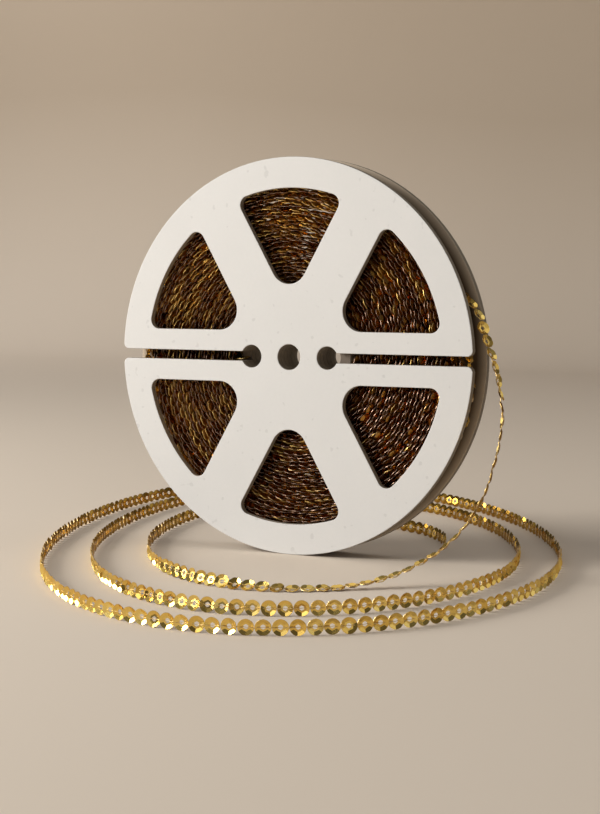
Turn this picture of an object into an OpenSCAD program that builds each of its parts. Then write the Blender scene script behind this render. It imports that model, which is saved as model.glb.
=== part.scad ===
// Flanged board reel wound with a strand of cup sequins.
// The reel stands on its rim, its axis along Y and its front flange towards -Y.
// The origin is on the standing surface, under the middle of the reel.

/* [Reel] */
// Outside diameter of both flanges
reel_d = 127; // [120:1:150]
// Thickness of one die-cut ply of board, which every disc is made of
board_t = 2.2; // [2.1:0.1:3]
// Diameter of the spindle hole through all plies
spindle_d = 8.2; // [6:0.1:10]

/* [Hub] */
// Diameter of the glued-up hub
hub_d = 42; // [38:0.5:45]
// Diameter of the two keyhole rounds
keyhole_d = 7.3; // [5:0.1:8]
// Distance of each keyhole's centre from the spindle axis
keyhole_x = 13.8; // [12:0.1:15]
// Width of the slots that run from the keyholes to the rim
slot_w = 3.1; // [2.4:0.1:4]
// Radius of the rounded corners at each slot's mouth
mouth_r = 1.8; // [1:0.1:2.5]

/* [Windows] */
// Width of the spokes between the windows
spoke_w = 16.8; // [14:0.1:20]
// Width of the rim outside the windows
rim_w = 9.8; // [7:0.1:12]
// Radius of each window's inner end
nose_r = 6.5; // [5:0.1:8]
// Radius of each window's two outer corners
corner_r = 3; // [1.5:0.1:4]

/* [Strand] */
// Diameter of one sequin, which is the width of the strand
sequin_d = 4.2; // [3.6:0.1:4.2]
// Thickness of the strand, over the depth of the sequins' cups
strand_t = 1; // [0.8:0.1:1.2]
// How far the flanges stand proud of the winding
flange_proud = 6.2; // [5.6:0.1:8]
// How far the slack front turn bows off the winding
slack = 5.4; // [4:0.1:5.6]
// How deep below the rim the strand leaves the groove
exit_drop = 1.3; // [1.1:0.1:2]
// Diameter of the knot that ends the strand
knot_d = 2.4; // [1.6:0.1:3]

/* [Loops on the table] */
// Turns that the free strand lies in
table_turns = 2.38; // [2:0.02:2.4]
// Half width of the innermost loop
loop_half_w = 52; // [48:0.5:56]
// How much wider each turn is, on each side
loop_w_step = 17.3; // [15:0.1:20]
// Half length of the innermost loop
loop_half_l = 84.5; // [80:0.5:90]
// How much longer each turn is, at each end
loop_l_step = 44; // [40:0.5:48]
// Angle of the loops' long way to the reel's axis
loop_tilt = 27.7; // [24:0.1:32]

/* [Hidden] */
$fn = 96;

board_colour = "#E6E1D6";
core_colour = "#9C968A";
wound_colour = "#5A3A17";
gold = "#BF9A42";

reel_r = reel_d / 2;
hub_r = hub_d / 2;
hub_plies = 4;
groove_w = hub_plies * board_t;
reel_w = groove_w + 2 * board_t;
front_y = -reel_w / 2;
back_y = reel_w / 2 - board_t;
groove_y = -groove_w / 2;

window_count = 6;
half_angle = 180 / window_count;
window_r = reel_r - rim_w;
nose_x = (spoke_w / 2 + nose_r) / sin(half_angle);
corner_x = window_r - corner_r;
corner_out = 90 - half_angle + asin((spoke_w / 2 + corner_r) / corner_x);

pack_side_gap = 0.9;
pack_hub_gap = 0.2;
core_gap = 0.15;
start_gap = 0.1;
split_gap = 0.3;
loop_rings = 24;
loop_sides = 6;
tube_sides = 8;

// The winding lies in two columns, side by side, with its sequins tilted a little.
tilt_loss = 0.3;
column_w = groove_w / 2;
turn_w = sequin_d - tilt_loss;
wound_r = reel_r - flange_proud;
turn_r = wound_r - strand_t / 2;
chord_sag = turn_r * (1 - cos(180 / loop_rings));
core_r = turn_r - strand_t / 2 - chord_sag - core_gap;

// The outer layer bows off in a slack turn, crosses from the front column to the back one,
// and lifts off a turn later. The lift stays in its column at first, clear of the slack turn.
wound_turns = 1.5;
cross_from = 0.7;
cross_turns = 0.2;
exit_angle = 35;
slack_angle = -15;
slack_reach = 44;
lift_straight = 0.3;
leave_angle = 16.5;
leave_r = reel_r - exit_drop;
leave_y = 0.4;

// Route of the strand from the reel down to the table: x, y, z, then which way its face looks.
hang_route = [
  [64.6, -0.9, 72.7, -0.8, 0.6, -0.2],
  [66.6, -1.8, 68.2, -0.85, 0.5, -0.1],
  [68.4, -2.8, 64.1, -0.95, 0.3, 0.0],
  [70.2, -4.0, 59.8, -1.0, 0.1, 0.1],
  [71.8, -5.4, 55.5, -1.0, -0.1, 0.1],
  [74.0, -8.5, 47.1, -0.95, -0.4, 0.1],
  [74.3, -11.7, 39.5, -0.9, -0.5, 0.0],
  [73.9, -15.0, 32.7, -0.9, -0.5, -0.1],
  [72.9, -18.8, 25.6, -0.9, -0.4, 0.0],
  [71.3, -22.4, 20.5, -0.8, -0.3, 0.3],
  [68.3, -27.4, 14.4, -0.6, -0.3, 0.7],
  [64.4, -32.9, 9.7, -0.4, -0.2, 0.9],
  [60.0, -38.0, 6.2, -0.2, -0.1, 1.0],
  [54.9, -43.4, 3.4, 0.0, 0.0, 1.0],
  [48.0, -50.2, 1.4, 0.0, 0.0, 1.0],
];

// Route of the strand's end: over the loops behind the reel and in to the knot.
tail_route = [
  [-110.2, 98.0, 2.4],
  [-109.0, 106.0, 3.4],
  [-105.0, 114.5, 4.9],
  [-97.0, 120.5, 6.1],
  [-87.0, 120.5, 6.6],
  [-77.0, 115.5, 6.6],
  [-68.0, 109.5, 6.6],
  [-59.0, 103.5, 6.6],
  [-49.0, 96.5, 6.1],
  [-39.0, 89.5, 4.6],
  [-29.0, 82.0, 3.0],
  [-19.0, 75.0, 2.2],
  [-9.0, 68.0, 2.1],
  [1.0, 61.5, 2.1],
  [10.5, 56.7, 2.1],
  [20.0, 51.5, 2.1],
  [29.0, 43.5, 2.1],
  [35.0, 36.0, 2.1],
  [39.0, 29.5, 2.1],
];

// Lie of the loops: middle of the innermost, drift a turn, and the slowing growth.
loop_mid = [1.5, 13.4];
loop_drift = [-1.9, -0.2];
loop_w_slow = 1.2;
loop_l_slow = 5.8;
loop_egg = -0.042;
loop_skew = -0.027;
twist_turns = 0.2;

function unit(v) = v / norm(v);
function smooth(x) = let (c = min(1, max(0, x))) c * c * (3 - 2 * c);
function at_angle(a, r) = [r * cos(a), r * sin(a)];
function arc(middle, r, from, to, steps) =
  [for (i = [0:steps]) middle + at_angle(from + (to - from) * i / steps, r)];
function between(points) = [for (i = [1:len(points) - 2]) points[i]];

// A flattened section of n sides, wide along the first axis.
function section(n, w, t) = [
  for (k = [0:n - 1])
    let (c = cos(360 * k / n), s = sin(360 * k / n))
      [sign(c) * w / 2 * sqrt(abs(c)), sign(s) * t / 2 * sqrt(abs(s))]
];

function heading(route, i) =
  let (a = max(0, i - 1), b = min(len(route) - 1, i + 1)) unit(route[b] - route[a]);

// One ring of points, square to the route and turned so that its face looks along face.
function ring(p, way, face, shape) =
  let (n = unit(face - (face * way) * way), b = cross(way, n))
    [for (q = shape) p + b * q[0] + n * q[1]];

function rings(route, faces, shape) =
  [for (i = [0:len(route) - 1]) ring(route[i], heading(route, i), faces[i], shape)];

// Least distance between points of rings that are more than skip rings apart.
function least_gap(loops, skip) = min([
  for (i = [0:len(loops) - skip - 2])
    for (j = [i + skip + 1:len(loops) - 1])
      for (p = loops[i]) for (q = loops[j]) norm(p - q)
]);

module skin(loops) {
  n = len(loops[0]);
  last = len(loops) - 1;
  points = [for (loop = loops) for (p = loop) p];
  sides = [
    for (i = [0:last - 1]) for (k = [0:n - 1])
      let (a = i * n + k, b = i * n + (k + 1) % n)
        each [[a, b, a + n], [b, b + n, a + n]]
  ];
  ends = [for (k = [1:n - 2]) each [[0, k + 1, k], [last * n, last * n + k, last * n + k + 1]]];
  polyhedron(points, concat(sides, ends), convexity = 10);
}

// Lays a flat outline square to the reel's axis, from y back to y + depth.
module board(y, depth) {
  translate([0, y + depth, reel_r]) rotate([90, 0, 0]) linear_extrude(depth) children();
}

// One window, upright above the axis: two corners, the outer arc between them, and the nose.
module window_outline() {
  nose = [0, nose_x];
  corner = at_angle(corner_out, corner_x);
  side = 180 + half_angle;
  polygon(concat(
    arc(corner, corner_r, -half_angle, corner_out, 12),
    between(arc([0, 0], window_r, corner_out, 180 - corner_out, 16)),
    arc([-corner[0], corner[1]], corner_r, 180 - corner_out, side, 12),
    arc(nose, nose_r, side, 360 - half_angle, 16)
  ));
}

module windows() {
  for (i = [0:window_count - 1]) rotate(i * 360 / window_count) window_outline();
}

module round_holes() {
  circle(d = spindle_d);
  for (side = [-1, 1]) translate([side * keyhole_x, 0]) circle(d = keyhole_d);
}

// A slot from the right keyhole out through the rim, its mouth opened by two rounded corners.
module slot_to_rim() {
  rise = slot_w / 2 + mouth_r;
  middle = [sqrt(pow(reel_r - mouth_r, 2) - rise * rise), rise];
  round_end = -12;
  bend = arc(middle, mouth_r, -90, round_end, 8);
  past_rim = bend[8] + at_angle(round_end + 90, 2 * mouth_r);
  edge = concat([[keyhole_x, slot_w / 2]], bend, [past_rim, [reel_r + mouth_r, past_rim[1]]]);
  last = len(edge) - 1;
  polygon(concat(edge, [for (i = [last:-1:0]) [edge[i][0], -edge[i][1]]]));
}

module front_flange() {
  color(board_colour) board(front_y, board_t) difference() {
    circle(reel_r, $fn = 180);
    round_holes();
    windows();
    for (side = [0, 1]) mirror([side, 0]) slot_to_rim();
  }
}

module back_flange() {
  color(board_colour) board(back_y, board_t) difference() {
    circle(reel_r, $fn = 180);
    round_holes();
    windows();
  }
}

// A hub ply; the two front ones are cut through from the left keyhole to take the strand's start.
module hub_ply(number) {
  cut = number <= hub_plies / 2;
  color(core_colour) board(groove_y + (number - 1) * board_t, board_t) difference() {
    circle(hub_r);
    round_holes();
    if (cut) translate([-hub_r - 1, -slot_w / 2]) square([hub_r + 1 - keyhole_x, slot_w]);
  }
}

// The inner end of the strand, laid in the cut of the two front hub plies.
module strand_start() {
  inner_x = keyhole_x + keyhole_d / 2 + start_gap;
  outer_x = hub_r - start_gap;
  color(gold) translate([-outer_x, -(column_w + turn_w) / 2, reel_r - slot_w / 2 + start_gap])
    cube([outer_x - inner_x, turn_w, strand_t]);
}

// The plain core ends at the middle of the sequins' scalloped edges, short of both flanges.
module wound_core() {
  inner = hub_r + pack_hub_gap;
  color(wound_colour) translate([0, 0, reel_r]) rotate([90, 0, 0]) rotate_extrude($fn = 180)
    translate([inner, groove_y + pack_side_gap])
      square([core_r - inner, groove_w - 2 * pack_side_gap]);
}

// The winding's outer layer: angle, radius and y at a number of turns from its start.
function turn_angle(t) = exit_angle + 360 * (wound_turns - t);
function off_slack(a) = abs(((a - slack_angle + 540) % 360) - 180);
function bowed(t) =
  let (d = off_slack(turn_angle(t)))
    (t < 0.4 || d > slack_reach) ? 0 : slack * pow(cos(90 * d / slack_reach), 2);
function turn_y(t) = column_w * (smooth((t - cross_from) / cross_turns) - 0.5);
function turn_point(t) =
  let (a = turn_angle(t), r = turn_r + bowed(t)) [r * cos(a), turn_y(t), reel_r + r * sin(a)];

// Where the strand lifts off the layer, from the exit angle on to the edge of the groove.
lift_rings = 4;
function lift_point(i) =
  let (
    f = i / lift_rings,
    a = exit_angle + (leave_angle - exit_angle) * f,
    r0 = turn_r + bowed(wound_turns),
    r = r0 + (leave_r - r0) * pow(f, 1.4),
    y = column_w / 2 + (leave_y - column_w / 2) * smooth((f - lift_straight) / (1 - lift_straight))
  ) [r * cos(a), y, reel_r + r * sin(a)];

wound_steps = wound_turns * loop_rings;
wound_route = concat(
  [for (i = [0:wound_steps]) turn_point(i / loop_rings)],
  [for (i = [1:lift_rings]) lift_point(i)]
);
function to_axis(p) = unit([-p[0], 0, reel_r - p[2]]);
wound_tube = rings(
  wound_route, [for (p = wound_route) to_axis(p)], section(loop_sides, turn_w, strand_t)
);

module outer_turns() {
  color(gold) skin(wound_tube);
}

// Loops on the table: place, and the way its face looks, after s turns from the front.
function loop_place(s) =
  let (
    a = -90 - 360 * s,
    w = loop_half_w + loop_w_step * s - loop_w_slow * s * s,
    l = loop_half_l + loop_l_step * s - loop_l_slow * s * s,
    u = w * cos(a),
    v = l * (sin(a) + loop_egg * cos(2 * a) + loop_skew * sin(2 * a)),
    c = cos(loop_tilt), d = sin(loop_tilt)
  ) loop_mid + loop_drift * s + [c * u - d * v, d * u + c * v];
function loop_twist(s) = smooth(s / twist_turns);
function loop_out(s) =
  let (way = unit(loop_place(s + 0.01) - loop_place(s - 0.01))) [-way[1], way[0]];
function loop_face(s) =
  let (o = loop_out(s), k = 90 * loop_twist(s)) [o[0] * sin(k), o[1] * sin(k), cos(k)];
function loop_height(s) =
  let (k = 90 * loop_twist(s)) (sequin_d * sin(k) + strand_t * cos(k)) / 2;

table_steps = round(table_turns * loop_rings);
table_turn = [for (i = [0:table_steps]) i * table_turns / table_steps];
table_route = [
  for (s = table_turn) let (p = loop_place(s)) [p[0], p[1], loop_height(s)]
];
table_tube = rings(
  table_route, [for (s = table_turn) loop_face(s)], section(loop_sides, sequin_d, strand_t)
);

module table_loops() {
  color(gold) skin(table_tube);
}

// The strand on its way down: straight on from the end of the winding, then along its route.
tube_section = section(tube_sides, sequin_d, strand_t);
leave_i = len(wound_route) - 1;
leave_way = heading(wound_route, leave_i);
leave_face = to_axis(wound_route[leave_i]);
down_start = wound_route[leave_i] + split_gap * leave_way;
down_route = concat(
  [down_start, down_start + sequin_d * leave_way], [for (p = hang_route) [p[0], p[1], p[2]]]
);
down_faces = concat([leave_face, leave_face], [for (p = hang_route) [p[3], p[4], p[5]]]);
down_end = ring(table_route[0], heading(table_route, 0), loop_face(0), tube_section);

module hanging_strand() {
  color(gold) skin(concat(
    [ring(down_start, leave_way, leave_face, section(tube_sides, turn_w, strand_t))],
    [for (i = [1:len(down_route) - 1])
      ring(down_route[i], heading(down_route, i), down_faces[i], tube_section)],
    [down_end]
  ));
}

module strand_tail() {
  start_way = heading(table_route, table_steps);
  route = concat([table_route[table_steps]], tail_route);
  color(gold) skin(concat(
    [ring(route[0], start_way, loop_face(table_turns), tube_section)],
    [for (i = [1:len(route) - 1])
      let (way = heading(route, i)) ring(route[i], way, cross([0, 0, 1], way), tube_section)]
  ));
}

// The knot lies on the table, against the end of the strand.
module end_knot() {
  last = len(tail_route) - 1;
  way = unit(tail_route[last] - tail_route[last - 1]);
  at = tail_route[last] + way * knot_d / 2;
  color(gold) translate([at[0], at[1], knot_d / 2]) sphere(d = knot_d, $fn = 32);
}

echo(winding_gap = least_gap(wound_tube, loop_rings / 4));
echo(loops_gap = least_gap(table_tube, loop_rings / 4));

front_flange();
hub_ply(1);  // hub_ply_1
hub_ply(2);  // hub_ply_2
hub_ply(3);  // hub_ply_3
hub_ply(4);  // hub_ply_4
back_flange();
strand_start();
wound_core();
outer_turns();
hanging_strand();
table_loops();
strand_tail();
end_knot();
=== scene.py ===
import math

import bmesh
import bpy
import numpy as np
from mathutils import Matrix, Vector


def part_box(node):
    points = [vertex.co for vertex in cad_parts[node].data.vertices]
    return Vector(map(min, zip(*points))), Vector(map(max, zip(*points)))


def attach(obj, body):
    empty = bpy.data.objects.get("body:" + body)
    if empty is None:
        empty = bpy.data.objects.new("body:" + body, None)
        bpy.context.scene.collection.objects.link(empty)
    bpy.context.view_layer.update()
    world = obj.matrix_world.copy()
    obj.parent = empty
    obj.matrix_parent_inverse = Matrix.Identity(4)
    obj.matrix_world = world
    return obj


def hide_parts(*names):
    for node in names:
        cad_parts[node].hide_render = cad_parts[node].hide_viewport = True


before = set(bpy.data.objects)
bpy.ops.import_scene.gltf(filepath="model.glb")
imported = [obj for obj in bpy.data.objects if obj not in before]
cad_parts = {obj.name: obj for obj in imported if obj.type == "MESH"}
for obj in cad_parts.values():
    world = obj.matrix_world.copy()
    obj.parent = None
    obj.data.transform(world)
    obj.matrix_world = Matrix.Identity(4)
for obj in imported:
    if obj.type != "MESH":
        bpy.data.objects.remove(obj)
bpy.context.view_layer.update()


# ---- The thread of the free strand ---------------------------------------------------------
# A metallic thread, chain-stitched along the backs of the sequins, so that it shows as a short
# bright link in each gap. It leaves the reel's groove at the right, hangs down to the table
# and lies there in wide loops round the reel.

# Sizes are in millimetres, and become metres where a mesh is made.
mm = 0.001
reel_r = 63.5
pitch = 4.36
sequin_r = 2.1

# The end of the winding, where the strand lifts out of the groove: angle, radius and y, and
# the way that it takes from there.
leave_angle, leave_r, leave_y = math.radians(16.5), 62.2, 0.4
leave = np.array([leave_r * math.cos(leave_angle), leave_y, reel_r + leave_r * math.sin(leave_angle)])
leave_way = np.array([0.615, -0.052, -0.787])
to_axis = [-math.cos(leave_angle), 0, -math.sin(leave_angle)]

# Just below that it is split from the turns on the reel, and it goes on the same way for a bit.
split_below, straight_for = 0.3, 4.2

# Its route: x, y and z, then the way that the sequins' hollow sides face.
start = leave + split_below * leave_way
route = [[*start, *to_axis], [*(start + straight_for * leave_way), *to_axis]]
route += [
    [64.6, -0.9, 72.7, -0.8, 0.6, -0.2],
    [66.6, -1.8, 68.2, -0.85, 0.5, -0.1],
    [68.4, -2.8, 64.1, -0.95, 0.3, 0.0],
    [70.2, -4.0, 59.8, -1.0, 0.1, 0.1],
    [71.8, -5.4, 55.5, -1.0, -0.1, 0.1],
    [74.0, -8.5, 47.1, -0.95, -0.4, 0.1],
    [74.3, -11.7, 39.5, -0.9, -0.5, 0.0],
    [73.9, -15.0, 32.7, -0.9, -0.5, -0.1],
    [72.9, -18.8, 25.6, -0.9, -0.4, 0.0],
    [71.3, -22.4, 20.5, -0.8, -0.3, 0.3],
    [68.3, -27.4, 14.4, -0.6, -0.3, 0.7],
    [64.4, -32.9, 9.7, -0.4, -0.2, 0.9],
    [60.0, -38.0, 6.2, -0.2, -0.1, 1.0],
    [54.9, -43.4, 3.4, 0.0, 0.0, 1.0],
    [48.0, -50.2, 1.4, 0.0, 0.0, 1.0],
]


def eased(x):
    """0 before 0, 1 after 1, and a smooth rise between."""
    x = min(1, max(0, x))
    return x * x * (3 - 2 * x)


# The loops are egg-shaped. Their half width and half length, and what each turn adds to them,
# then the egg's blunt and skewed ends, its turn on the table, its middle and how that moves.
loop_half_w, loop_half_l = (52, 17.3, -1.2), (84.5, 44, -5.8)
blunt, skewed = 0.042, 0.027
loop_heading = math.radians(27.7)
loop_middle, middle_moves = (1.5, 13.4), (-1.9, -0.2)


def loop_place(turns):
    """Where the strand lies on the table, some turns on from the front of the innermost loop."""
    angle = math.radians(-90 - 360 * turns)
    half_w, half_l = [
        first + more * turns + bend * turns * turns for first, more, bend in (loop_half_w, loop_half_l)
    ]
    across = half_w * math.cos(angle)
    along = half_l * (math.sin(angle) - blunt * math.cos(2 * angle) - skewed * math.sin(2 * angle))
    c, s = math.cos(loop_heading), math.sin(loop_heading)
    x, y = [middle + moves * turns for middle, moves in zip(loop_middle, middle_moves)]
    return np.array([x + c * across - s * along, y + s * across + c * along])


loop_turns, loop_steps = 2.38, 114
# The strand comes down with its sequins flat, this thick, and stands on its edge after this
# share of a turn.
flat_t, on_edge_from = 1, 0.2
for step in range(loop_steps + 1):
    turns = loop_turns * step / loop_steps
    way = loop_place(turns + 0.01) - loop_place(turns - 0.01)
    left = np.array([-way[1], way[0]]) / np.linalg.norm(way)
    upright = math.radians(90) * eased(turns / on_edge_from)
    height = (2 * sequin_r * math.sin(upright) + flat_t * math.cos(upright)) / 2
    route.append([*loop_place(turns), height, *(left * math.sin(upright)), math.cos(upright)])

# The rest stands on its edge, crosses over the loops behind the reel and ends inside them:
# x, y and z.
tail = [
    [-110.2, 98.0, 2.4],
    [-109.0, 106.0, 3.4],
    [-105.0, 114.5, 4.9],
    [-97.0, 120.5, 6.1],
    [-87.0, 120.5, 6.6],
    [-77.0, 115.5, 6.6],
    [-68.0, 109.5, 6.6],
    [-59.0, 103.5, 6.6],
    [-49.0, 96.5, 6.1],
    [-39.0, 89.5, 4.6],
    [-29.0, 82.0, 3.0],
    [-19.0, 75.0, 2.2],
    [-9.0, 68.0, 2.1],
    [1.0, 61.5, 2.1],
    [10.5, 56.7, 2.1],
    [20.0, 51.5, 2.1],
    [29.0, 43.5, 2.1],
    [35.0, 36.0, 2.1],
    [39.0, 29.5, 2.1],
]
tail_ways = np.gradient(np.array(tail), axis=0)
for place, way in zip(tail, tail_ways):
    run = np.hypot(way[0], way[1])
    route.append([*place, -way[1] / run, way[0] / run, 0])


def drawn_out(points, step, parts_between=16):
    """A smooth line through the points, divided again into even steps."""
    p = np.array(points, float)
    p = np.vstack([2 * p[0] - p[1], p, 2 * p[-1] - p[-2]])
    t = np.linspace(0, 1, parts_between, endpoint=False)[:, None]
    parts = [
        b + (c - a) * t / 2 + (2 * a - 5 * b + 4 * c - d) * t**2 / 2 + (3 * b - a - 3 * c + d) * t**3 / 2
        for a, b, c, d in zip(p, p[1:], p[2:], p[3:])
    ]
    fine = np.vstack([*parts, p[-2:-1]])
    along = np.concatenate([[0], np.cumsum(np.linalg.norm(np.diff(fine[:, :3], axis=0), axis=1))])
    at = np.arange(0, along[-1], step)
    return np.stack([np.interp(at, along, fine[:, k]) for k in range(fine.shape[1])], axis=1)


def axes_along(line):
    """For each row of a line, a matrix whose columns are its way, its width and its face."""
    way = np.gradient(line[:, :3], axis=0)
    way /= np.linalg.norm(way, axis=1)[:, None]
    face = line[:, 3:] - (line[:, 3:] * way).sum(1)[:, None] * way
    face /= np.linalg.norm(face, axis=1)[:, None]
    return np.stack([way, np.cross(face, way), face], axis=2)


def spun(name, places, thread_r, corners, swells):
    """A closed round mesh through the places, as thick at each as its swell says."""
    curve = bpy.data.curves.new(name, "CURVE")
    curve.dimensions = "3D"
    curve.bevel_depth = thread_r * mm
    curve.bevel_resolution = corners
    curve.use_fill_caps = True
    spline = curve.splines.new("POLY")
    spline.points.add(len(places) - 1)
    for point, place, swell in zip(spline.points, places, swells):
        point.co = (*(place * mm), 1)
        point.radius = swell
    made = bpy.data.objects.new(name, curve)
    bpy.context.collection.objects.link(made)
    bpy.ops.object.select_all(action="DESELECT")
    made.select_set(True)
    bpy.context.view_layer.objects.active = made
    bpy.ops.object.convert(target="MESH")
    bpy.ops.object.shade_smooth()
    return bpy.context.object


# How the thread runs: in steps, behind each sequin's middle and before it in the gaps, with a
# sideways waver, and thin behind the sequins and swelled in the gaps.
steps_per_sequin = 8
behind, before, waver, wavers_per_sequin = -0.12, 0.22, 0.12, 2.5
thread_r, thinned, swelled = 0.17, 0.35, 0.6


def thread_through(name, line):
    """A thread along a line: thin behind each sequin's middle and thick in the gaps before them."""
    fine = drawn_out(line, pitch / steps_per_sequin)
    axes = axes_along(fine)
    phase = np.arange(len(fine)) * 2 * math.pi / steps_per_sequin
    in_gap = 0.5 - 0.5 * np.cos(phase)
    places = fine[:, :3] + axes[:, :, 2] * (before * in_gap + behind * (1 - in_gap))[:, None]
    places += axes[:, :, 1] * (waver * np.sin(phase * wavers_per_sequin))[:, None]
    return spun(name, places, thread_r, corners=1, swells=thinned + swelled * in_gap)


class Wire:
    """What comes out of a node, on which sums can be written."""

    def __init__(self, finish, socket):
        self.finish, self.socket = finish, socket

    def sum(self, operation, a, b=0.0):
        return self.finish.node("Math", {"operation": operation}, {0: a, 1: b})

    def __add__(self, other):
        return self.sum("ADD", self, other)

    def __sub__(self, other):
        return self.sum("SUBTRACT", self, other)

    def __rsub__(self, other):
        return self.sum("SUBTRACT", other, self)

    def __mul__(self, other):
        return self.sum("MULTIPLY", self, other)

    __radd__, __rmul__ = __add__, __mul__


class Finish:
    """The finish of one kind of surface. Plain values go straight on the shader's own sockets."""

    def __init__(self, name, **plain):
        self.material = bpy.data.materials.new(name)
        self.material.use_nodes = True
        self.tree = self.material.node_tree
        self.shader = self.tree.nodes["Principled BSDF"]
        self.feed(**plain)

    def feed(self, **inputs):
        for name, value in inputs.items():
            self.put(value, self.shader.inputs[name.replace("_", " ").title()])

    def put(self, value, socket):
        if isinstance(value, Wire):
            self.tree.links.new(value.socket, socket)
        else:
            socket.default_value = value

    def node(self, kind, settings=None, inputs=None, output=0):
        made = self.tree.nodes.new("ShaderNode" + kind)
        for name, value in (settings or {}).items():
            setattr(made, name, value)
        for key, value in (inputs or {}).items():
            self.put(value, made.inputs[key])
        return Wire(self, made.outputs[output])

    def blend(self, share, a, b):
        """Colour a where share is 0, and colour b where it is 1."""
        a, b = [value if isinstance(value, Wire) else (*value, 1) for value in (a, b)]
        return self.node("Mix", {"data_type": "RGBA"}, {0: share, 6: a, 7: b}, 2)

    def noise(self, place, scale, detail=2.0):
        return self.node("TexNoise", None, {"Vector": place, "Scale": scale, "Detail": detail})

    def bump(self, height, distance, strength=1.0):
        return self.node("Bump", None, {"Strength": strength, "Distance": distance, "Height": height})

    def object_place(self):
        return self.node("TexCoord", output=3)


thread_shade, thread_gold = (0.5, 0.3, 0.08), (1.0, 0.78, 0.36)
thread_finish = Finish("gold_thread", metallic=0.6, roughness=0.42)
fibres = thread_finish.noise(thread_finish.object_place(), scale=2600, detail=1.0)
thread_finish.feed(
    base_color=thread_finish.blend(fibres, thread_shade, thread_gold),
    normal=thread_finish.bump(fibres, distance=0.05 * mm, strength=0.6),
)

free_line = drawn_out(route, pitch / steps_per_sequin)
free_thread = thread_through("free_thread", free_line)
free_thread.data.materials.append(thread_finish.material)
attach(free_thread, "strand")


# ---- The knot at the strand's end ----------------------------------------------------------
# The stitched thread, knotted over itself past the last sequin and drawn nearly tight.
# It lies on the table.

knot_r, knot_thread_r = 1.2, 0.26
# The thread goes twice round the knot and swings in and out, and up and down, three times.
round_r, in_and_out, up_and_down = 0.58, 0.3, 0.42
knot_steps, knot_closed = 60, 0.96
last_way = (free_line[-1] - free_line[-1 - steps_per_sequin])[:3]
last_way /= np.linalg.norm(last_way)
knot_at = np.array([*(free_line[-1, :2] + last_way[:2] * knot_r), knot_r])
knot_places = []
for step in range(knot_steps + 1):
    a = 2 * math.pi * knot_closed * step / knot_steps
    reach = round_r + in_and_out * math.cos(3 * a)
    out = (reach * math.cos(2 * a), reach * math.sin(2 * a), up_and_down * math.sin(3 * a))
    knot_places.append(knot_at + out)
knot = spun("knotted_thread", knot_places, knot_thread_r, corners=2, swells=[1] * len(knot_places))
knot.data.materials.append(thread_finish.material)
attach(knot, "strand")
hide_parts("end_knot")


# ---- The free strand's sequins -------------------------------------------------------------
# Cup sequins stamped from gold film: a flat ring round the hole, then a bowl of six flats
# under a round rim. They are strung at an even pitch, each a little out of line.

hole_r = 0.7
ring_r = 1.28
cup_depth = 0.42
flats = 6
film_t = 0.11
# The first few sequins hang turned over, hollow side out. They tip up where the strand starts
# to stand on its edge, and lean back in one stretch: places along the strand, then degrees.
turned_over, turned_by = (0, 13, 32, 34), (195, 167, 188, 0)
tipped_up, tipped_by = (112, 126, 157, 172), 16
leaned_back, leaned_by = (645, 672, 705, 735), 10
# On the table they have slumped round on the thread, least where a loop faces this angle and
# most opposite it, at the back, where they also lean forward.
front_at, slump_front, slump_back, back_lean = -61, 8, 27, 4
# Each also sways at random, in degrees: about the strand's way, its width and its own face.
sway_way, sway_width, sway_face = 3.5, 5, 6
# Below the first height the strand lies on the table. A sequin that is less than the second
# above the table drops on to it, and rests the third above it.
table_below, settled_from, rests_at = 8, 0.45, 0.02
# Faces less level than this are cuts: the upward part of a normal.
cut_below = 0.6
# Sequins whose tone lies past the first of these start to show their cuts in gold.
gold_cut_from, gold_cut_to = 0.7, 0.85
# The film's brush marks: many round the hole, and long ones outwards.
brush_marks = (60, 3, 1)


def stamped(name, inner_r, rim_cuts, film_t):
    """One sequin, centred on the origin, with its flat ring low and its hollow side up."""
    bpy.ops.object.select_all(action="DESELECT")
    fill = "NOTHING" if inner_r < ring_r else "NGON"
    bpy.ops.mesh.primitive_circle_add(vertices=flats, radius=inner_r, fill_type=fill)
    sequin = bpy.context.object
    sequin.name = name
    bpy.ops.object.mode_set(mode="EDIT")
    bpy.ops.mesh.select_mode(type="EDGE")
    bpy.ops.mesh.select_all(action="SELECT")
    if inner_r < ring_r:
        bpy.ops.mesh.extrude_edges_indiv()
        bpy.ops.transform.resize(value=(ring_r / inner_r, ring_r / inner_r, 1))
    bpy.ops.mesh.extrude_edges_indiv()
    bpy.ops.transform.resize(value=(sequin_r / ring_r, sequin_r / ring_r, 1))
    bpy.ops.transform.translate(value=(0, 0, cup_depth))
    bpy.ops.mesh.subdivide(number_cuts=rim_cuts)
    shape = bmesh.from_edit_mesh(sequin.data)
    slope = cup_depth / ((sequin_r - ring_r) * math.cos(math.pi / flats))
    for v in shape.verts:
        flat_r = math.hypot(v.co.x, v.co.y)
        if v.co.z > cup_depth / 2 and flat_r < sequin_r:
            v.co.z += (sequin_r - flat_r) * slope
            v.co.x *= sequin_r / flat_r
            v.co.y *= sequin_r / flat_r
    bpy.ops.mesh.select_all(action="SELECT")
    bpy.ops.mesh.normals_make_consistent(inside=False)
    if shape.faces[0].normal.z < 0:
        bpy.ops.mesh.flip_normals()
    bpy.ops.object.mode_set(mode="OBJECT")
    wall = sequin.modifiers.new("film", "SOLIDIFY")
    wall.thickness = film_t
    wall.offset = -1
    bpy.ops.object.modifier_apply(modifier=wall.name)
    for v in sequin.data.vertices:
        v.co.z -= cup_depth / 2
    return sequin


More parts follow.
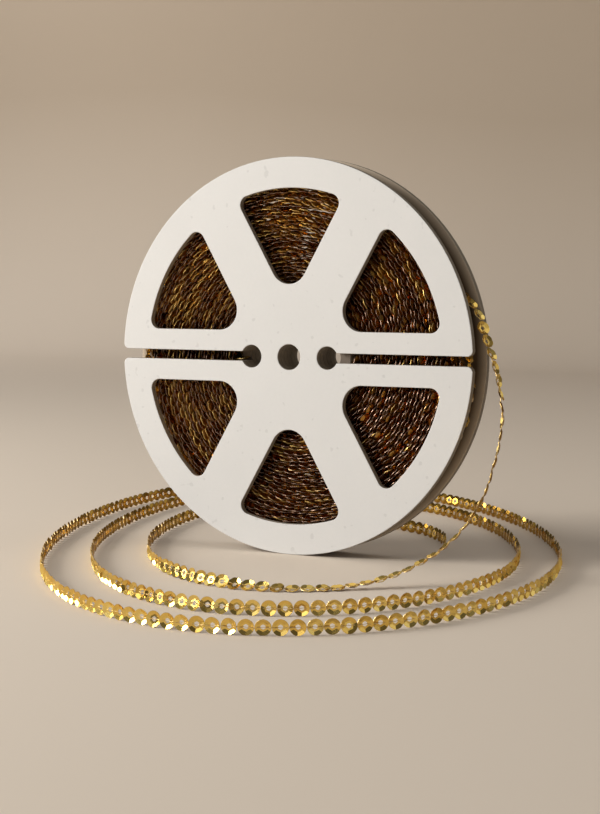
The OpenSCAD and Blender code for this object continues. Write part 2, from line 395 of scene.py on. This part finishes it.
def turned(about_way, about_width, spin):
    """Rotation matrices of sequins that are turned by these angles in their own axes."""
    zero, one = np.zeros_like(spin), np.ones_like(spin)
    cx, sx = np.cos(about_way), np.sin(about_way)
    cy, sy = np.cos(about_width), np.sin(about_width)
    cz, sz = np.cos(spin), np.sin(spin)
    rx = np.array([[one, zero, zero], [zero, cx, -sx], [zero, sx, cx]])
    ry = np.array([[cy, zero, sy], [zero, one, zero], [-sy, zero, cy]])
    rz = np.array([[cz, -sz, zero], [sz, cz, zero], [zero, zero, one]])
    return np.einsum("ijn,jkn,kln->nil", rx, ry, rz)


def strung(name, sequin, places, axes, tones, floor=None):
    """One mesh with a copy of the sequin at each place, in millimetres, turned by its axes."""
    shape = sequin.data
    points = np.array([v.co for v in shape.vertices])
    sizes = np.array([p.loop_total for p in shape.polygons])
    corners = np.array([i for p in shape.polygons for i in p.vertices])
    copies, many = len(places), len(points)
    all_points = places[:, None, :] + np.einsum("nij,vj->nvi", axes, points)
    if floor is not None:
        sunk = floor - all_points[:, :, 2].min(1)
        all_points[:, :, 2] += np.where(sunk > -settled_from, sunk, 0)[:, None]
    mesh = bpy.data.meshes.new(name)
    mesh.vertices.add(copies * many)
    mesh.vertices.foreach_set("co", (all_points * mm).astype(np.float32).ravel())
    mesh.loops.add(copies * len(corners))
    every = (corners[None, :] + many * np.arange(copies)[:, None]).ravel()
    mesh.loops.foreach_set("vertex_index", every.astype(np.int32))
    all_sizes = np.tile(sizes, copies)
    starts = np.concatenate([[0], np.cumsum(all_sizes)[:-1]])
    mesh.polygons.add(len(all_sizes))
    mesh.polygons.foreach_set("loop_start", starts.astype(np.int32))
    mesh.polygons.foreach_set("loop_total", all_sizes.astype(np.int32))
    mesh.update(calc_edges=True)
    mesh.shade_flat()
    tone = mesh.attributes.new("tone", "FLOAT", "POINT")
    tone.data.foreach_set("value", np.repeat(tones, many).astype(np.float32))
    up = np.array([p.normal.z for p in shape.polygons])
    for share, faces in (("cut", abs(up) < cut_below), ("back", up <= -cut_below)):
        kind = mesh.attributes.new(share, "FLOAT", "FACE")
        kind.data.foreach_set("value", np.tile(faces, copies).astype(np.float32))
    spin = np.arctan2(points[:, 1], points[:, 0]) / (2 * math.pi)
    out = np.hypot(points[:, 0], points[:, 1]) / sequin_r
    round_uv = np.stack([spin, out], axis=1)[corners]
    layer = mesh.uv_layers.new(name="round")
    layer.data.foreach_set("uv", np.tile(round_uv, (copies, 1)).astype(np.float32).ravel())
    made = bpy.data.objects.new(name, mesh)
    bpy.context.collection.objects.link(made)
    return made


def gold_film(name, dark, bright, shaded_outside, pale_cut, gold_cut, film_t, roughness):
    """Metallised film: brushed out from the hole, darkened on its outside as painted shade, and with
    rounded cuts.
    """
    film = Finish(name, metallic=1.0)
    tone, cut, outside = [
        film.node("Attribute", {"attribute_name": share}, output=2) for share in ("tone", "cut", "back")
    ]
    glint = film.node("MapRange", None, {0: tone, 1: gold_cut_from, 2: gold_cut_to})
    round_uv = film.node("UVMap", {"uv_map": "round"})
    spoke = film.node("Mapping", None, {0: round_uv, "Scale": brush_marks})
    out = film.node("SeparateXYZ", None, {0: round_uv}, 1)
    across = film.node("MapRange", None, {0: out, 1: 1 - film_t / 2 / sequin_r, 2: 1})
    rounded = across * (1 - across) * cut
    brushed = film.noise(spoke, scale=1.0)
    tone_share = 0.7
    shade = tone * tone_share + brushed * (1 - tone_share)
    inside_colour = film.blend(shade, dark, bright)
    # Painted shade: the outside takes the inside's colours, darkened.
    shaded_dark, shaded_bright = [np.multiply(colour, shaded_outside) for colour in (dark, bright)]
    flat = film.blend(outside, inside_colour, film.blend(shade, shaded_dark, shaded_bright))
    brush_rough, tone_rough, cut_rough = 0.1, 0.08, 0.2
    brush_h, round_h = 0.02, 1.4
    film.feed(
        base_color=film.blend(cut, flat, film.blend(glint, pale_cut, gold_cut)),
        roughness=brushed * brush_rough + tone * tone_rough + cut * cut_rough + roughness,
        normal=film.bump(brushed * brush_h + rounded * round_h, distance=0.2 * mm),
    )
    return film


rng = np.random.default_rng(11)
whole_sequin = stamped("whole_sequin", hole_r, rim_cuts=3, film_t=film_t)
spots = drawn_out(free_line, pitch)
count = len(spots)
on_edge = np.hypot(spots[:, 3], spots[:, 4]) * (spots[:, 2] < table_below)
off_front = np.arctan2(spots[:, 4], spots[:, 3]) - math.radians(front_at)
along = pitch * np.arange(count)
lean = leaned_by * np.interp(along, leaned_back, (0, 1, 1, 0))
lean -= back_lean * on_edge * (1 - np.cos(off_front))
lean += np.interp(along, turned_over, turned_by)
lean -= tipped_by * np.interp(along, tipped_up, (0, 1, 1, 0))
slump = slump_back + (slump_front - slump_back) * (1 + np.cos(off_front)) / 2
wobble = turned(
    np.radians(lean + rng.normal(0, sway_way, count)),
    np.radians(slump * on_edge * np.sin(2 * off_front) + rng.normal(0, sway_width, count)),
    np.radians(rng.normal(0, sway_face, count)),
)
gold = gold_film(
    "gold_film",
    dark=(0.78, 0.49, 0.1),
    bright=(0.98, 0.75, 0.24),
    shaded_outside=(0.46, 0.38, 0.24),
    pale_cut=(0.6, 0.42, 0.16),
    gold_cut=(0.9, 0.7, 0.34),
    film_t=film_t,
    roughness=0.12,
)
free_strand = strung(
    "free_strand", whole_sequin, spots[:, :3], axes_along(spots) @ wobble, rng.random(count), rests_at
)
free_strand.data.materials.append(gold.material)
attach(free_strand, "strand")
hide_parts("hanging_strand", "table_loops", "strand_tail")
free_length = np.linalg.norm(np.diff(free_line[:, :3], axis=0), axis=1).sum()
round(free_length * mm, 2)


# ---- The outer turns on the reel -----------------------------------------------------------
# The strand's last turns on the winding. The front one is slack and bows out at the right. They
# cross to the back column, and half a turn later they lift towards the edge of the groove.

turn_r = 56.8
# Each column lies this far from the middle of the groove.
column = 2.2
# In degrees: where the turns end, the middle of the slack and its reach to either side. Then
# how far it bows out.
exit_angle, slack_angle, slack_reach, slack = 35, -15, 44, 5.4
wound_turns, wound_steps, lift_steps = 1.5, 144, 4
# In turns from their start: where the slack may bow out, and where and how fast they cross.
slack_from, cross_from, cross_for = 0.4, 0.7, 0.2
# The lift gets steeper, and goes aside from this share of it on.
lift_power, aside_from = 1.4, 0.3
outer_pitch = 0.92 * pitch


def off_slack(angle):
    """How far an angle on the reel is from the middle of the slack turn, in degrees."""
    return abs((angle - slack_angle + 540) % 360 - 180)


def on_reel(angle, r, y):
    """A place on the reel, and the way from it to the reel's axis."""
    c, s = math.cos(angle), math.sin(angle)
    return [r * c, y, reel_r + r * s, -c, 0, -s]


def wound_place(t):
    """Place on the outer layer, t turns on from its start, and the way to the reel's axis."""
    angle = exit_angle + 360 * (wound_turns - t)
    off = off_slack(angle)
    bowed = t >= slack_from and off <= slack_reach
    r = turn_r + (slack * math.cos(math.radians(90 * off / slack_reach)) ** 2 if bowed else 0)
    y = 2 * column * (eased((t - cross_from) / cross_for) - 0.5)
    return on_reel(math.radians(angle), r, y)


wound_route = [wound_place(wound_turns * step / wound_steps) for step in range(wound_steps + 1)]
lift_from = math.hypot(wound_route[-1][0], wound_route[-1][2] - reel_r)
for step in range(1, lift_steps + 1):
    share = step / lift_steps
    angle = math.radians(exit_angle) * (1 - share) + leave_angle * share
    r = lift_from + (leave_r - lift_from) * share**lift_power
    aside = eased((share - aside_from) / (1 - aside_from))
    wound_route.append(on_reel(angle, r, column + (leave_y - column) * aside))

# Each sequin rides up on the next, and sways at random, more where the strand is slack.
ridden_up, slack_sway = 7, 2.2
sway_way, sway_width, sway_face = 7, 4, 8
wound_line = drawn_out(wound_route, pitch / steps_per_sequin)
spots = drawn_out(wound_line, outer_pitch)
count = len(spots)
lifted = np.hypot(spots[:, 0], spots[:, 2] - reel_r) - turn_r
loose = 1 + slack_sway * np.clip(lifted / slack, 0, 1)
wobble = turned(
    np.radians(rng.normal(0, sway_way, count) * loose),
    np.radians(ridden_up + rng.normal(0, sway_width, count) * loose),
    np.radians(rng.normal(0, sway_face, count)),
)
outer_sequins = strung(
    "outer_sequins", whole_sequin, spots[:, :3], axes_along(spots) @ wobble, rng.random(count)
)
outer_sequins.data.materials.append(gold.material)
outer_thread = thread_through("outer_thread", wound_line)
outer_thread.data.materials.append(thread_finish.material)
for piece, slot in ((outer_sequins, "wound_sequins"), (outer_thread, "thread")):
    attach(piece, "reel")
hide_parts("outer_turns")


# ---- The wound layers ----------------------------------------------------------------------
# The rest of the strand, wound in two columns side by side, about twenty-eight layers deep.
# The sequins lie like shingles, hollow side in, and show as scalloped edges in the windows.

layer_pitch = 1.22
inner_r, outer_r = 21.9, 55.55
wound_pitch = 3.5
# The columns start this far round the hub, in radians, one to either side.
first_angle = 0.7
# Under the slack turn the front column bows out: from this radius, by this much, ever more.
loose_from, loosened, loose_power = 46, 4.6, 2.5
# How far the outer edges lean in, in degrees: at the top, and more at the left.
leaned_in, leaned_left = 2, 6
# Each sequin rides up on the next. They lean and ride up alike for a stretch of so many, and
# each also sways and is shifted at random.
ridden_up, stretch_lean, stretch_ride = 5, 4, 3
lean_together, ride_together = 9, 25
sway_way, sway_width, sway_face = 6, 4, 7
shifted = 0.08
# Their tones: the middle one, more at the upper left as painted light, with lighter film and more gold
# cuts where the light falls from, more where they ride up, and at random.
tone_mid, painted_light_upper_left, tone_ride, tone_spread = 0.48, 0.14, 0.16, 0.22
wound_film_t = 0.16
plain_sequin = stamped("plain_sequin", ring_r, rim_cuts=2, film_t=wound_film_t)
# Painted shade: the same film as the free strand's, coloured darker and redder for the shade deep in the
# winding.
shaded_wound_gold = gold_film(
    "shaded_wound_gold_film",
    dark=(0.52, 0.225, 0.04),
    bright=(1.0, 0.68, 0.19),
    shaded_outside=(0.62, 0.56, 0.5),
    pale_cut=(0.31, 0.205, 0.15),
    gold_cut=(1.0, 0.7, 0.24),
    film_t=wound_film_t,
    roughness=0.16,
)


def wound_spots(side):
    """Places down one column, from the hub out, as a spiral."""
    angle, r, rows = first_angle * side, inner_r, []
    while r < outer_r:
        off = min(1, off_slack(math.degrees(angle)) / slack_reach)
        near = math.cos(math.radians(90 * off)) ** 2
        depth = max(0, (r - loose_from) / (outer_r - loose_from))
        bow = loosened * near * depth**loose_power if side < 0 else 0
        rows.append(on_reel(angle, r + bow, side * column))
        angle += wound_pitch / r
        r += layer_pitch * wound_pitch / r / (2 * math.pi)
    return np.array(rows)


def drifting(count, together):
    """Random values, spread by about 1, that change slowly: so many change together."""
    margin = 20
    rough = rng.normal(0, 1, count + 2 * margin)
    return np.convolve(rough, np.ones(together) / math.sqrt(together), "same")[margin:-margin]


for side, column_name in ((-1, "front"), (1, "back")):
    spots = wound_spots(side)
    count = len(spots)
    drift, ride = drifting(count, lean_together), drifting(count, ride_together)
    leaned = leaned_in + leaned_left * spots[:, 3]
    wobble = turned(
        np.radians(leaned * side + stretch_lean * drift + rng.normal(0, sway_way, count)),
        np.radians(ridden_up + stretch_ride * ride + rng.normal(0, sway_width, count)),
        np.radians(180 / flats + rng.normal(0, sway_face, count)),
    )
    axes = axes_along(spots) @ wobble
    places = spots[:, :3] + rng.normal(0, shifted, (count, 3))
    upper_left = (spots[:, 3] - spots[:, 5]) / math.sqrt(2)
    # Painted light: the tones rise towards the upper left, where the light comes from.
    tones = tone_mid + painted_light_upper_left * upper_left + tone_ride * ride + rng.normal(0, tone_spread, count)
    tones = np.clip(tones, 0, 1)
    half = (count + 1) // 2
    for layers, some in (("inner", slice(0, half)), ("outer", slice(half, count))):
        name = f"wound_{layers}_{column_name}"
        layer = strung(name, plain_sequin, places[some], axes[some], tones[some])
        layer.data.materials.append(shaded_wound_gold.material)
        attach(layer, "reel")
        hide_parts("wound_core")


# ---- The strand's start --------------------------------------------------------------------
# The first sequin of the strand. It lies in the cut of the two front hub plies, which holds
# the strand by its start.

start_low, start_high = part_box("strand_start")
start_at = np.array([(start_low + start_high) / 2]) / mm
# It lies a little askew, in radians.
start_tilt, start_tone = (0.12, -0.08, 0.2), 0.6
tilt = turned(*np.array(start_tilt)[:, None])
first_sequin = strung("first_sequin", whole_sequin, start_at, tilt, np.array([start_tone]))
first_sequin.data.materials.append(gold.material)
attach(first_sequin, "reel")
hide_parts("strand_start")
for model in (whole_sequin, plain_sequin):
    bpy.data.objects.remove(model)


# ---- The flanges ---------------------------------------------------------------------------
# Die-cut grey board, lined with white paper outside and bare inside, where painted shade darkens
# the bare face next to the winding. The cut edges show the grey core with its fibres, and the
# cutting has rounded and dulled the liner's edge a little.

board_t = 2.2
# The liner starts to show at the first of these depths, and shows fully above the second.
liner_t, liner_dulled = 0.16, 0.04
# A face changes from its inner to its rim colour between these radii; on the groove faces the inner
# colour is painted shade.
rim_from, rim_to = 60, 63.2
white_liner = (0.7, 0.697, 0.688)
bare_face = (0.56, 0.46, 0.345)
# Painted shade on the groove faces next to the winding.
painted_shade_face = (0.1, 0.062, 0.028)
grey_core = (0.28, 0.235, 0.18)
edge_round = 0.22
# How much each kind of soiling darkens a face, and where the noise makes a speck.
cloud_share, grain_share, speck_share = 0.07, 0.035, 0.1
speck_from, speck_to = 0.7, 0.75
# How rough the cuts are, how much smoother the faces, and what the grain adds.
cut_rough, smoother, grain_rough = 0.86, 0.2, 0.08


def lined_board(name, mid_y, front_face, back_face, core):
    """Board with its own colours on each face and its core at the cuts, for a ply centred at mid_y.

    A face's first colour is the one at the rim, and its second the one next to the winding, which on the
    groove faces is painted shade.
    """
    board = Finish(name)
    place = board.object_place()
    x, y, z = [board.node("SeparateXYZ", None, {0: place}, axis) for axis in range(3)]
    depth = y - mid_y * mm
    skin = {1: (board_t / 2 - liner_t) * mm, 2: (board_t / 2 - liner_dulled) * mm}
    at_front = board.node("MapRange", None, {0: depth * -1, **skin})
    at_back = board.node("MapRange", None, {0: depth, **skin})
    cloud = board.noise(place, scale=45, detail=3.0)
    grain = board.noise(place, scale=900, detail=3.0)
    flecks = board.noise(place, scale=420, detail=1.0)
    specks = board.node("MapRange", None, {0: flecks, 1: speck_from, 2: speck_to})
    layer_scales = (700, 4500, 700)
    stretched = board.node("Mapping", None, {0: place, "Scale": layer_scales})
    layers = board.noise(stretched, scale=1.0, detail=3.0)
    up = z - reel_r * mm
    radii = {1: (rim_from * mm) ** 2, 2: (rim_to * mm) ** 2}
    at_rim = board.node("MapRange", None, {0: x * x + up * up, **radii})
    dark_layer, pale_layer = 0.55, 1.3
    colour = board.blend(layers, [c * dark_layer for c in core], [c * pale_layer for c in core])
    soiled = cloud * cloud_share + grain * grain_share + specks * speck_share
    for share, (rim_colour, inner_colour) in ((at_front, front_face), (at_back, back_face)):
        # On the groove faces the inner colour is painted shade next to the winding.
        face = board.blend(at_rim, inner_colour, rim_colour)
        face = board.blend(soiled, face, (0, 0, 0))
        colour = board.blend(share, colour, face)
    lined = at_front + at_back
    board.feed(
        base_color=colour,
        roughness=cut_rough - lined * smoother + grain * grain_rough,
        normal=board.bump(grain * 0.6 + layers * (1 - lined), distance=0.03 * mm, strength=0.5),
    )
    return board


def eased_edges(piece, width):
    """Merges a piece's loose triangles, joins the flat ones and rounds its edges a little."""
    merged_within, flat_below, edge_above = 0.005, math.radians(0.5), math.radians(40)
    weld = piece.modifiers.new("merged", "WELD")
    weld.merge_threshold = merged_within * mm
    flat = piece.modifiers.new("flat", "DECIMATE")
    flat.decimate_type = "DISSOLVE"
    flat.angle_limit = flat_below
    edge = piece.modifiers.new("edge", "BEVEL")
    edge.width = width * mm
    edge.segments = 2
    edge.limit_method = "ANGLE"
    edge.angle_limit = edge_above
    edge.use_clamp_overlap = False


outer_face = (white_liner, white_liner)
groove_face = (bare_face, painted_shade_face)
flange_faces = {"front_flange": (outer_face, groove_face), "back_flange": (groove_face, outer_face)}
for name, faces in flange_faces.items():
    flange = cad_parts[name]
    low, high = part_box(name)
    board = lined_board(name + "_board", (low.y + high.y) / 2 / mm, *faces, grey_core)
    flange.data.materials.clear()
    flange.data.materials.append(board.material)
    eased_edges(flange, edge_round)


# ---- The hub plies -------------------------------------------------------------------------
# Four discs of the same board, unlined, glued up between the flanges, their faces coloured darker as
# painted shade.
# The two front ones are cut through at the left to take the strand's start.

# Painted shade: the plies' faces are far darker than the flanges' bare faces of the same board.
shaded_ply_face = [(0.15, 0.115, 0.085)] * 2
hub_edge_round = 0.12

for number in range(1, 5):
    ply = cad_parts[f"hub_ply_{number}"]
    low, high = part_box(ply.name)
    mid_y = (low.y + high.y) / 2 / mm
    board = lined_board(ply.name + "_board", mid_y, shaded_ply_face, shaded_ply_face, grey_core)
    ply.data.materials.clear()
    ply.data.materials.append(board.material)
    eased_edges(ply, hub_edge_round)


# ---- The table, the backdrop and the light -------------------------------------------------
# A pale cloth-coloured table that curves up into a backdrop, in a dim room; its colour darkens up
# the backdrop and towards the right as painted shade. The key is a large soft light at the upper left,
# with weaker ones at the left, above, at the right, in front and high up, and one that lights the
# backdrop. Sizes are in metres here.

sweep_w, sweep_front, sweep_back, sweep_h, bend_r = 3.2, -1.8, 1.4, 1.4, 0.4
bpy.ops.object.select_all(action="DESELECT")
bpy.ops.mesh.primitive_plane_add(size=1, location=(0, (sweep_front + sweep_back) / 2, 0))
sweep = bpy.context.object
sweep.name = "table_and_backdrop"
bpy.ops.transform.resize(value=(sweep_w, sweep_back - sweep_front, 1))
bpy.ops.object.mode_set(mode="EDIT")
bpy.ops.mesh.select_mode(type="EDGE")
bpy.ops.mesh.select_all(action="DESELECT")
shape = bmesh.from_edit_mesh(sweep.data)
for edge in shape.edges:
    edge.select = all(v.co.y > 0 for v in edge.verts)
bmesh.update_edit_mesh(sweep.data)
bpy.ops.mesh.extrude_edges_indiv()
bpy.ops.transform.translate(value=(0, 0, sweep_h))
bpy.ops.object.mode_set(mode="OBJECT")
bpy.ops.object.transform_apply(location=True, rotation=True, scale=True)
bend = sweep.modifiers.new("bend", "BEVEL")
bend.width = bend_r
bend.segments = 24
bend.limit_method = "ANGLE"
bpy.ops.object.modifier_apply(modifier=bend.name)
bpy.ops.object.shade_smooth()
cloth = Finish("pale_cloth", roughness=0.95)
x, y, height = [cloth.node("SeparateXYZ", None, {0: cloth.object_place()}, axis) for axis in range(3)]
near_cloth, shaded_cloth = (0.74, 0.645, 0.54), (0.5, 0.41, 0.315)
# Painted shade: it darkens up to this height, and a little across, along this way and between these
# places.
dark_by_height = 0.33
across_x, across_y, dark_from, dark_to, dark_share = 0.876, 0.48, -0.15, 0.25, 0.2
raised = cloth.node("MapRange", None, {0: height, 1: 0, 2: dark_by_height})
across = cloth.node("MapRange", None, {0: x * across_x + y * across_y, 1: dark_from, 2: dark_to})
cloth.feed(base_color=cloth.blend(raised + across * dark_share, near_cloth, shaded_cloth))
sweep.data.materials.append(cloth.material)


def softbox(name, at, aim, size, power, colour):
    """A soft light at a place, turned towards another, that the camera doesn't see."""
    light = bpy.data.lights.new(name, "AREA")
    light.shape, light.size, light.size_y = "RECTANGLE", size[0], size[1]
    light.energy, light.color = power, colour
    lamp = bpy.data.objects.new(name, light)
    lamp.location = at
    lamp.visible_camera = False
    lamp.rotation_euler = (Vector(aim) - Vector(at)).to_track_quat("-Z", "Y").to_euler()
    bpy.context.collection.objects.link(lamp)


softbox("key", (-0.88, -0.62, 0.43), (0, 0, 0.05), (0.55, 0.55), 16, (1, 0.97, 0.92))
softbox("left", (-1.0, 0.0, 0.13), (0, 0, 0.05), (0.35, 0.24), 0.6, (1, 0.98, 0.95))
softbox("top", (0, 0.1, 1.25), (0, 0, 0), (1.0, 1.0), 2.4, (1, 0.98, 0.96))
softbox("right", (1.0, 0.34, 0.7), (0, 0, 0.08), (0.8, 0.7), 1.1, (1, 0.98, 0.96))
softbox("front", (0.62, -1.1, 0.25), (0, 0, 0.05), (1.0, 0.5), 0.8, (1, 0.98, 0.96))
softbox("high", (-0.15, -0.78, 0.71), (0, -0.08, 0), (0.45, 0.32), 0.8, (1, 0.98, 0.96))
softbox("backdrop", (-1.25, 0.75, 0.8), (-1.25, 1.4, 0.25), (0.6, 0.4), 3.5, (1, 0.98, 0.96))
room_light = (0.1, 0.097, 0.094, 1)
world = bpy.data.worlds.new("room")
bpy.context.scene.world = world
world.use_nodes = True
world.node_tree.nodes["Background"].inputs["Color"].default_value = room_light


# ---- The camera ----------------------------------------------------------------------------
# It stands low in front of the reel, a little to the right, and looks slightly down at it
# through a long lens.

camera_at = (0.26581, -0.48361, 0.08973)
camera_looks = Vector((-0.4796, 0.8741, -0.0770))
camera_lens = 75.77
camera_turned = camera_looks.to_track_quat("-Z", "Y").to_euler()
bpy.ops.object.camera_add(location=camera_at, rotation=camera_turned)
bpy.context.object.data.lens = camera_lens
bpy.context.scene.camera = bpy.context.object
bpy.context.scene.view_settings.view_transform = "Standard"
